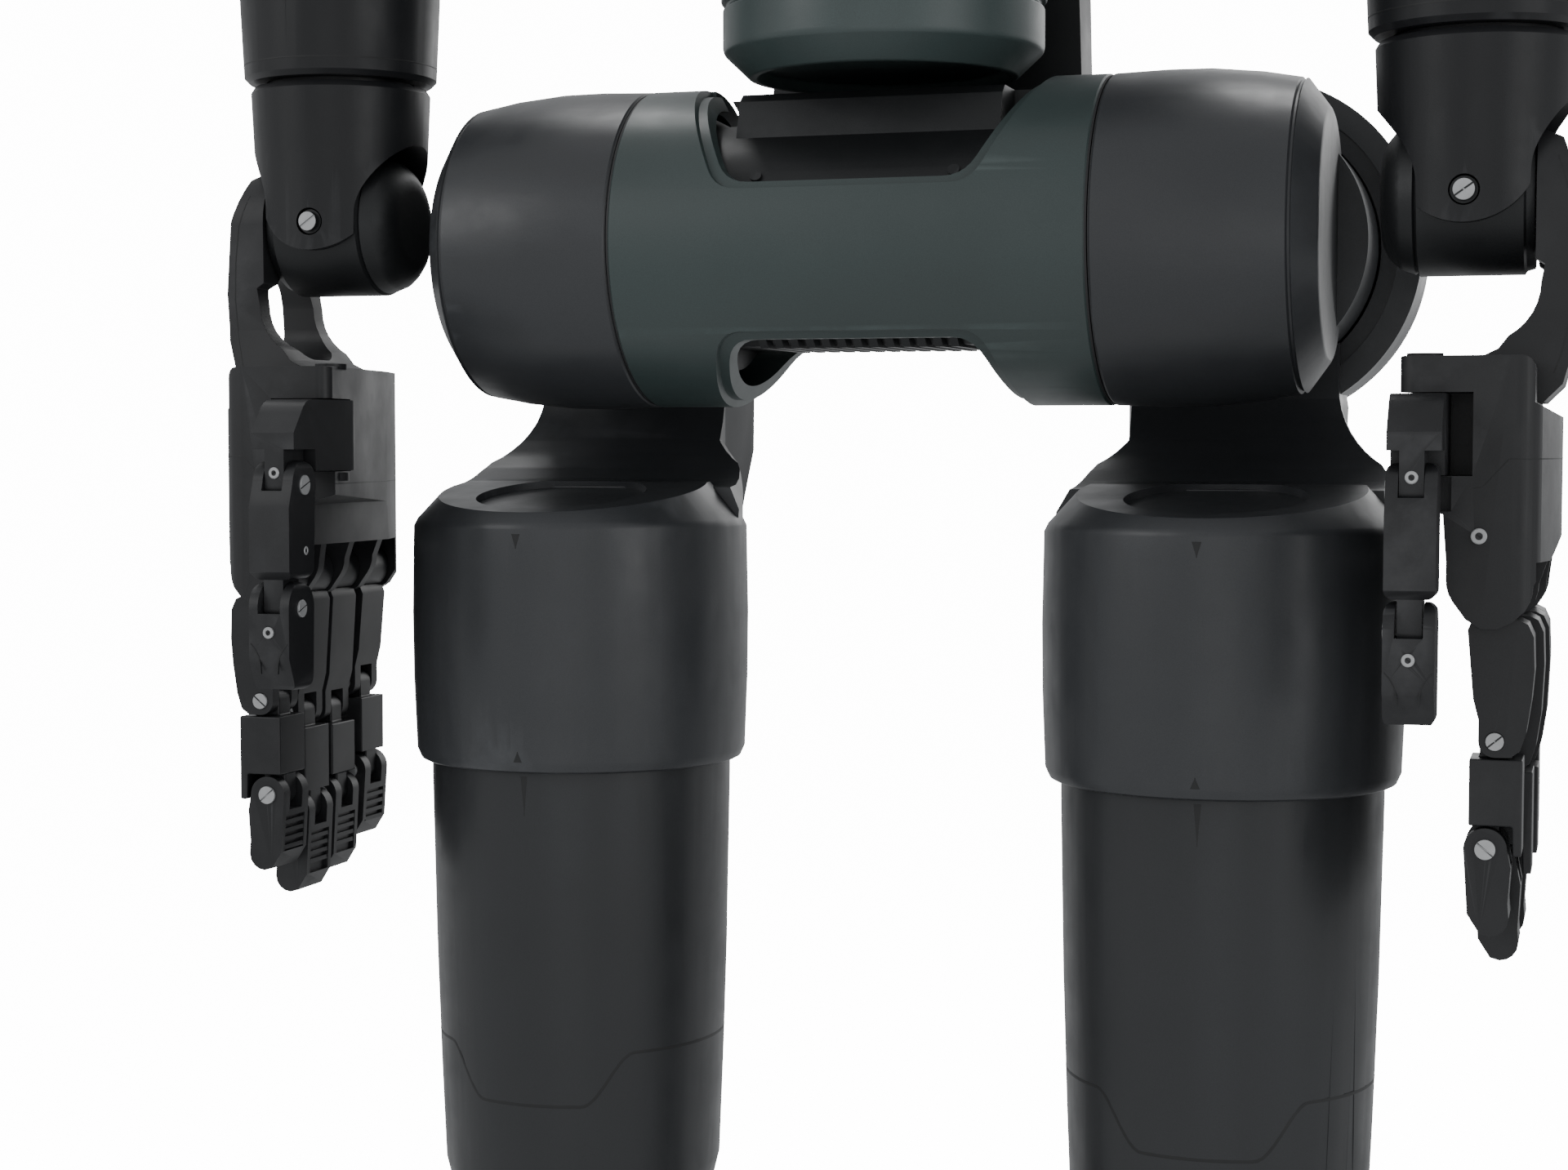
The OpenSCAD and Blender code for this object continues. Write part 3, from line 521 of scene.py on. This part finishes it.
def seam(name, points, normals, body, width=0.6, proud=0.05, closed=False, taper=False):
    """A narrow parting line laid into a surface along points, each with its outward normal, painted near-black:
    painted shade in place of the shadow in its groove.
    """
    work = bmesh.new()
    count = len(points)
    rings = []
    for k in range(count):
        before = points[k - 1] if (k or closed) else points[k]
        after = points[(k + 1) % count] if (k < count - 1 or closed) else points[k]
        along = (after - before).normalized()
        n = normals[k].normalized()
        across = along.cross(n).normalized()
        half = width / 2 * MM
        if taper:
            half *= max(0.12, 1 - k / (count - 1))
        p = points[k]
        rings.append([work.verts.new(p + across * half * sx + n * up * MM) for sx, up in
                      ((-1, -0.8), (-1, proud - 0.03), (-0.5, proud), (0.5, proud), (1, proud - 0.03), (1, -0.8))])
    pairs = list(zip(rings, rings[1:]))
    if closed:
        pairs.append((rings[-1], rings[0]))
    for low, high in pairs:
        for k in range(6):
            n = (k + 1) % 6
            work.faces.new((low[k], low[n], high[n], high[k]))
    if not closed:
        work.faces.new(rings[0])
        work.faces.new(rings[-1][::-1])
    piece = link_piece(name, finish_mesh(name, work), SEAM_SHADE, body)
    return piece


def flat_seam(name, m, corners, body, normal, width, step=1.5):
    """A parting line on a flat face, through points for the +X side."""
    spots = [mirrored(m, p) for p in corners]
    points = []
    for a, b in zip(spots, spots[1:]):
        parts = max(1, int((b - a).length / (step * MM)))
        points += [a.lerp(b, k / parts) for k in range(parts)]
    points.append(spots[-1])
    return seam(name, points, [normal] * len(points), body, width)


def rounded_loop(corners):
    """A closed path through (x, z) corners, each rounded."""
    path = []
    count = len(corners)
    for k in range(count):
        a, b, c = (Vector(corners[(k + i) % count]) for i in (-1, 0, 1))
        cut = 9.0 if min((a - b).length, (c - b).length) > 20 else 3.0
        p, q = b + (a - b).normalized() * cut, b + (c - b).normalized() * cut
        for i in range(5):
            t = i / 4
            path.append(p * (1 - t) ** 2 + b * 2 * t * (1 - t) + q * t * t)
    return path + [path[0]]


def cast_seam(name, node, corners, direction, body, width=0.8, step=3.0, closed=True):
    """A parting line that follows a node's surface; corners (x, z) in millimetres are cast along Y."""
    mesh = NODES[node].data
    tree = BVHTree.FromPolygons([v.co.copy() for v in mesh.vertices], [tuple(p.vertices) for p in mesh.polygons])
    path = rounded_loop(corners) if closed else [Vector(c) for c in corners]
    points, normals = [], []
    for a, b in zip(path, path[1:]):
        parts = max(1, int((b - a).length / step))
        for k in range(parts):
            spot = a.lerp(b, k / parts)
            start = at(spot.x, 0, spot.y)
            start.y = -direction * 0.6
            hit, normal, _, _ = tree.ray_cast(start, Vector((0, direction, 0)))
            if hit is None:
                continue
            if normal.y * direction > 0:
                normal = -normal
            points.append(hit)
            normals.append(normal)
    return seam(name, points, normals, body, width, 0.08, closed=closed)


def arc_points(x, y, r, a0, a1, n):
    """Points on an arc round (x, y), between two angles in degrees."""
    return [(x + r * math.cos(math.radians(a0 + (a1 - a0) * k / n)),
             y + r * math.sin(math.radians(a0 + (a1 - a0) * k / n))) for k in range(n + 1)]


def plan_seam(name, m, outline, z, body, hand, width=0.45):
    """A level parting line round an upright wall, on the side hand of its plan outline for the +X side."""
    spots, count = [], len(outline)
    walls = []
    for (x0, y0), (x1, y1) in zip(outline, outline[1:]):
        walls.append(Vector((y1 - y0, x0 - x1, 0)).normalized() * hand)
    normals = []
    for k in range(count):
        n = walls[max(0, k - 1)] + walls[min(k, count - 2)]
        n = n.normalized()
        spots.append(at(m * outline[k][0], outline[k][1], z))
        normals.append(Vector((n.x * m, n.y, 0)))
    return seam(name, spots, normals, body, width)


def round_seam(name, centre_x, centre_y, radius_at, height_at, body, width=0.6, steps=180, proud=0.05):
    """A parting line right round an upright shell; height_at gives its height at each angle."""
    points, normals = [], []
    for k in range(steps):
        deg = -180 + 360 * k / steps
        t = math.radians(deg)
        z = height_at(abs(deg))
        r = radius_at(z)
        out = Vector((math.sin(t), -math.cos(t), 0))
        points.append(at(centre_x + out.x * r, centre_y + out.y * r, z))
        normals.append(out)
    return seam(name, points, normals, body, width, proud, closed=True)


def between(table):
    """Straight-line interpolation through a table of (height, radius), highest first."""
    def read(z):
        for (z0, r0), (z1, r1) in zip(table, table[1:]):
            if z <= z0 and z >= z1:
                return r0 + (r1 - r0) * (z0 - z) / (z0 - z1)
        return table[0][1] if z > table[0][0] else table[-1][1]
    return read


def ease(t):
    """A smooth step from 0 to 1."""
    t = min(1.0, max(0.0, t))
    return t * t * (3 - 2 * t)


# Radii of the thigh and of the shell round its top, as (height, radius).
thigh_radius = between([(-185, 57.4), (-187, 58.8), (-203, 58.8), (-270, 57.5), (-320, 55.9), (-356, 54.4)])
shell_radius = between([(-106, 65.5), (-140, 66.1), (-165, 65.8), (-193, 64.7), (-196.6, 63.1)])


# How deep a joint cover is let in, and half the widths of the ankle and the elbow, in millimetres.
COVER_INSET = 0.9
ANKLE_HALF, ELBOW_HALF = 31.6, 40.4


def add_leg_details(side, m):
    # The thigh's parting line drops to a flat-bottomed loop in front.
    round_seam(side + "_thigh_seam", m * LEG_X, LEG_Y, thigh_radius,
               lambda a: -325 + 20 * ease((a - 21) / 21), side + "_thigh", 1.2)
    for label, z0, z1, radius, body, width in (
        ("shell_top_mark", -107.5, -113, shell_radius, side + "_hip_yoke", 3.4),
        ("shell_low_mark", -193, -189, shell_radius, side + "_hip_yoke", 3.4),
        ("thigh_top_mark", -199, -214, thigh_radius, side + "_thigh", 2.6),
    ):
        count = 9
        points = []
        for k in range(count):
            z = z0 + (z1 - z0) * k / (count - 1)
            points.append(at(m * LEG_X, LEG_Y - radius(z), z))
        seam(side + "_" + label, points, [FRONT] * count, body, width, 0.05, taper=True)
    knee, ankle = JOINT_AT[side + "_knee"], JOINT_AT[side + "_ankle"]
    low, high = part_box(side + "_shin")
    for face, sign in (("outer", 1), ("inner", -1)):
        axis = (sign * m, 0, 0)
        inset = sign * m * COVER_INSET * MM
        edge = high.x if sign * m > 0 else low.x
        joint_cover(side + "_knee_cover_" + face, Vector((edge - inset, knee.y, knee.z)), axis, 33, side + "_shin")
        edge = m * (LEG_X + sign * ANKLE_HALF) * MM
        joint_cover(side + "_ankle_cover_" + face, Vector((edge - inset, ankle.y, ankle.z)), axis, 17,
                    side + "_foot", screws=3)


def joint_cover(name, spot, axis, radius, body, screws=6):
    """A round cover over a joint: a shallow dished disc in a dark ring, with screws."""
    turned(name, spot, axis, [(0, -1.5), (radius, -1.5), (radius, 0.5), (radius - 0.6, 1.0),
                              (radius - 3.2, 1.0), (radius - 3.9, 0.3), (radius - 4.6, 0.3), (radius - 5.2, 0.9),
                              (radius * 0.45, 0.7), (radius * 0.42, 0.2), (0, 0.15)],
           MATS["core"], body, 64)
    a, u, v = turn_about(axis)
    screw_ring(name + "_screw", spot + a * 0.8 * MM, u, v, radius * 0.66, axis, max(1.3, radius * 0.062), body, 0.2,
               screws)


# The hip drum's flat end, and the depth of the recess in the back of the yoke's plate, in millimetres.
HIP_END = 165.5
PLATE_RECESS = 2.0


def add_hip_details(side, m):
    outward = (m, 0, 0)
    # Near-black rings on both sides of the joint between the pelvis and the hip drum: painted shade that darkens and
    # widens the groove there.
    turned(side + "_hip_ring", at(m * 88, 0, 0), outward,
           [(57, -0.9), (59.45, -0.9), (59.45, -0.45), (59.3, 0.3), (57, 0.3)], HIP_GROOVE_SHADE, "pelvis", 96)
    turned(side + "_hip_ring_outer", at(m * 88.7, 0, 0), outward,
           [(57, 0), (59.3, 0.0), (59.5, 0.5), (59.5, 0.8), (57, 0.8)], HIP_GROOVE_SHADE, side + "_hip_drum", 96)
    turned(side + "_hip_cap", at(m * HIP_END, 0, 0), outward,
           [(0, -2.0), (41, -2.0), (41, -0.15), (40.4, -0.05), (39.4, -0.05), (38.9, -0.5), (38.2, -0.5),
            (37.7, -0.05), (16, -0.05), (15.4, -0.6), (0, -0.6)],
           MATS["body_shell"], side + "_hip_drum", 72)
    screw_ring(side + "_hip_cap_screw", at(m * (HIP_END - 0.35), 0, 0), REAR, UP, 30, outward, 1.9,
               side + "_hip_drum", 0.3)
    back = (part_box(side + "_hip_yoke")[1].y - HIP.y) / MM
    # The roll motor's cover lies on the outer face of the yoke's rear plate.
    turned(side + "_roll_cover", at(m * LEG_X, back - PLATE_RECESS, 0), REAR,
           [(0, -1.5), (43, -1.5), (43, 0.6), (42, 1.2), (36, 1.2), (35.2, 0.5), (34, 0.5), (33.2, 1.1), (14, 1.1),
            (13.2, 0.4), (0, 0.4)], MATS["core"], side + "_hip_yoke", 72)
    screw_ring(side + "_roll_screw", at(m * LEG_X, back - PLATE_RECESS + 1.1, 0), ACROSS, UP, 25, REAR, 1.9,
               side + "_hip_yoke", 0.3)


# The wrist pin's place, the shoulder's height and half its depth, in millimetres.
WRIST_PIN_X, WRIST_Z = 213.5, 10.7
SHOULDER_Z, SHOULDER_HALF = 520, 52.0


def add_arm_details(side, m):
    # Parting lines round the foot and the upper part of the forearm.
    round_seam(side + "_forearm_line", m * ARM_X, ARM_Y, between([(98, 38.65), (68, 37.2), (66, 35.2)]),
               lambda a: 72.5, side + "_forearm", 0.5)
    round_seam(side + "_elbow_line", m * ARM_X, ARM_Y, between([(214, 43.6), (98, 38.65)]),
               lambda a: 196 - 16 * ease((a - 100) / 50), side + "_forearm", 0.6)
    # A near-black ring on the drum's end: painted shade standing in for a groove line.
    turned(side + "_wrist_drum_line", at(m * (ARM_X - 29.5), ARM_Y, WRIST_Z), (-m, 0, 0),
           [(19.2, -0.9), (19.2, 0.12), (19.8, -0.12), (19.8, -0.9)], SEAM_SHADE, side + "_wrist_drum", 72)
    rim = ((27.4, 22), (31, 10), (32.6, -4), (33, -18), (32, -32), (29.6, -43), (26.6, -52))
    cast_seam(side + "_bracket_line", side + "_hand_bracket", [(m * (ARM_X + x), z) for x, z in rim], 1,
              side + "_hand", 0.5, 1.5, closed=False)
    drum_front = (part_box(side + "_wrist_drum")[0].y - HIP.y) / MM
    slotted_head(side + "_wrist_pin", at(m * WRIST_PIN_X, drum_front - 0.05, WRIST_Z), FRONT, 3.6,
                 side + "_wrist_drum", 0.25, 0.6)
    for face, sign in (("front", -1), ("rear", 1)):
        y = ARM_Y + sign * SHOULDER_HALF
        turned(side + "_shoulder_cap_" + face, at(m * ARM_X, y, SHOULDER_Z), (0, sign, 0),
               [(0, -1.0), (38, -1.0), (38, -0.1), (37, 0.35), (31, 0.35), (30.3, -0.3), (29.3, -0.3), (28.6, 0.3),
                (12, 0.3), (11.4, -0.4), (0, -0.4)], MATS["core"], side + "_shoulder", 64)
        screw_ring(side + "_shoulder_screw_" + face, at(m * ARM_X, y + sign * 0.3, SHOULDER_Z), ACROSS, UP, 20,
                   (0, sign, 0), 1.8, side + "_shoulder", 0.2)
    elbow = JOINT_AT[side + "_elbow"]
    for face, sign in (("outer", 1), ("inner", -1)):
        spot = Vector((m * (ARM_X + sign * (ELBOW_HALF - COVER_INSET)) * MM, elbow.y, elbow.z))
        joint_cover(side + "_elbow_cover_" + face, spot, (sign * m, 0, 0), 27, side + "_forearm")


# The palm's front face, the thumb's inner face and its middle, and half a finger's width, in millimetres.
PALM_FRONT = -70.8
THUMB_INNER = ARM_X - 22.7
THUMB_MIDDLE = THUMB_INNER + 8.1
FINGER_HALF = 10
# How far the palm screw's head in CAD stands out of the palm, in millimetres.
PALM_SCREW_OUT = 1.25


def add_hand_details(side, m):
    hand = side + "_hand"
    # Split line of the palm: level, then down in a step, then level round the thumb side.
    step_down = ((15, -78.8), (14, -79), (6, -88), (3, -88.4))
    flat_seam(side + "_palm_line_front", m, [(ARM_X + x, PALM_FRONT, z) for x, z in step_down], hand, FRONT, 0.45)
    outer = arc_points(ARM_X + 15, -60.8, 10, 270, 338, 6)
    outer += [(ARM_X + 29, -36), (ARM_X + 30, -20), (ARM_X + 29.4, -2), (ARM_X + 27, 14)]
    outer += arc_points(ARM_X + 13, 22.2, 11, 14, 90, 6) + [(ARM_X + 1, 32)]
    plan_seam(side + "_palm_line_side", m, outer, -78.8, hand, 1)
    plan_seam(side + "_palm_line_inner", m, [(ARM_X - 20.3, -63), (ARM_X - 6, 10), (ARM_X + 1, 32)], -89, hand, -1)
    socket_head(side + "_palm_screw", at(m * (ARM_X + 5), PALM_FRONT - PALM_SCREW_OUT, -104), FRONT, 2.6, hand, 0.25)
    for finger in FINGERS:
        for joint, node, radius, proud, turn in (("middle_joint", "proximal", 2.95, 0.75, 40),
                                                 ("tip_joint", "distal", 3.35, 0.95, -40)):
            pin = JOINT_AT[side + "_" + finger + "_" + joint]
            body = side + "_" + finger + "_" + node
            slotted_head(body + "_pin_front", pin + FRONT * FINGER_HALF * MM, FRONT, radius, body, proud, 0.5,
                         turn * m)
            slotted_head(body + "_pin_rear", pin + REAR * FINGER_HALF * MM, REAR, radius, body, 0.3, 0.5, -turn * m)
    # Thumb: socket screws on the front, slotted pins and a screw on the palm side.
    thumb = side + "_thumb"
    pivot, tip = joint_mm(thumb + "_flex"), joint_mm(thumb + "_tip")
    inward = (-m, 0, 0)
    socket_head(thumb + "_base_screw", at(m * THUMB_MIDDLE, -100.9, -84.6), FRONT, 2.1, thumb + "_base", 0.3)
    socket_head(thumb + "_tip_screw", at(m * THUMB_MIDDLE, tip.y - 10.4, -142.4), FRONT, 2.1, thumb + "_distal", 0.35)
    for label, joint, radius, body in (("_pivot_pin", pivot, 3.6, "_proximal"), ("_tip_pin", tip, 3.2, "_distal")):
        slotted_head(thumb + label, at(m * (THUMB_INNER - 0.3), joint.y, joint.z), inward, radius, thumb + body, 0.35,
                     0.5, 20)
    socket_head(thumb + "_side_screw", at(m * THUMB_INNER, pivot.y + 1, -113), inward, 1.7, thumb + "_proximal", 0.2)
    # Two lines that draw together down the front of the fingertip.
    pad = ((7.4, -146.5), (5.6, -148.6), (4.2, -151.2), (3.6, -154), (3.4, -157.5))
    for label, sign in (("inner", -1), ("outer", 1)):
        flat_seam(thumb + "_pad_" + label, m, [(THUMB_MIDDLE + sign * x, tip.y - 9.9, z) for x, z in pad],
                  thumb + "_distal", FRONT, 0.35, 0.8)


# The head's radius and the height of its middle, and the visor's lower edge, height and half angle in degrees.
HEAD_R, HEAD_Z = 80, 742
VISOR_Z, VISOR_HEIGHT, VISOR_HALF = 706, 62, 62


def add_visor():
    """A smooth dark visor set into the front of the head, let in at its edges."""
    work = bmesh.new()
    rows, cols = 14, 40
    grid = []
    for r in range(rows + 1):
        v = r / rows
        z = VISOR_Z + VISOR_HEIGHT * v
        row = []
        for c in range(cols + 1):
            u = c / cols * 2 - 1
            limit = VISOR_HALF * (1 - abs(v * 2 - 1) ** 5 * 0.35)
            t = math.radians(limit * u)
            fall = (z - HEAD_Z) / HEAD_R
            lift = 0.6 * (1 - max(abs(u), abs(v * 2 - 1)) ** 12) - 0.3
            radius = HEAD_R * math.sqrt(max(0.0, 1 - fall * fall)) + lift
            row.append(work.verts.new(at(radius * math.sin(t), -radius * math.cos(t), z)))
        grid.append(row)
    for r in range(rows):
        for c in range(cols):
            work.faces.new((grid[r][c], grid[r][c + 1], grid[r + 1][c + 1], grid[r + 1][c]))
    visor = link_piece("head_visor", finish_mesh("head_visor", work), GLASS, "head")
    thick = visor.modifiers.new("thickness", "SOLIDIFY")
    thick.thickness = 0.003
    thick.offset = -1


def add_upper_details():
    add_visor()
    chest = [(-58, 532), (58, 532), (86, 470), (78, 330), (46, 222), (-46, 222), (-78, 330), (-86, 470)]
    back = [(-70, 528), (70, 528), (92, 440), (76, 270), (-76, 270), (-92, 440)]
    pack = [(-34, 505), (34, 505), (34, 405), (-34, 405)]
    cast_seam("chest_panel", "torso", chest, 1, "torso", 1.1)
    cast_seam("back_panel", "torso", back, -1, "torso", 1.1)
    cast_seam("pack_panel", "torso", pack, -1, "torso", 0.9)
    for side, m in SIDES:
        # Panels on limbs: half the width at the top and at the bottom, the two heights, and which side they face.
        for label, node, axis_x, wide, narrow, top, low, direction, width in (
            ("_shin_panel", "_shin", LEG_X, 24, 17, -520, -715, 1, 0.8),
            ("_calf_panel", "_shin", LEG_X, 26, 20, -530, -660, -1, 0.8),
            ("_upper_arm_panel", "_upper_arm", ARM_X, 20, 20, 452, 342, 1, 0.7),
        ):
            x = m * axis_x
            outline = [(x - wide, top), (x + wide, top), (x + narrow, low), (x - narrow, low)]
            cast_seam(side + label, side + node, outline, direction, side + node, width)
        turned(side + "_ear_cap", at(m * 82, 0, 730), (m, 0, 0),
               [(0, -1), (24, -1), (24, 0.0), (23.2, 0.4), (17, 0.4), (16.4, -0.2), (15.4, -0.2), (14.8, 0.35),
                (0, 0.3)], MATS["core"], "head", 56)


def add_details():
    for side, m in SIDES:
        add_leg_details(side, m)
        add_hip_details(side, m)
        add_arm_details(side, m)
        add_hand_details(side, m)
    add_upper_details()


add_camera()
add_lights()
add_stage()
dress_nodes()
add_details()
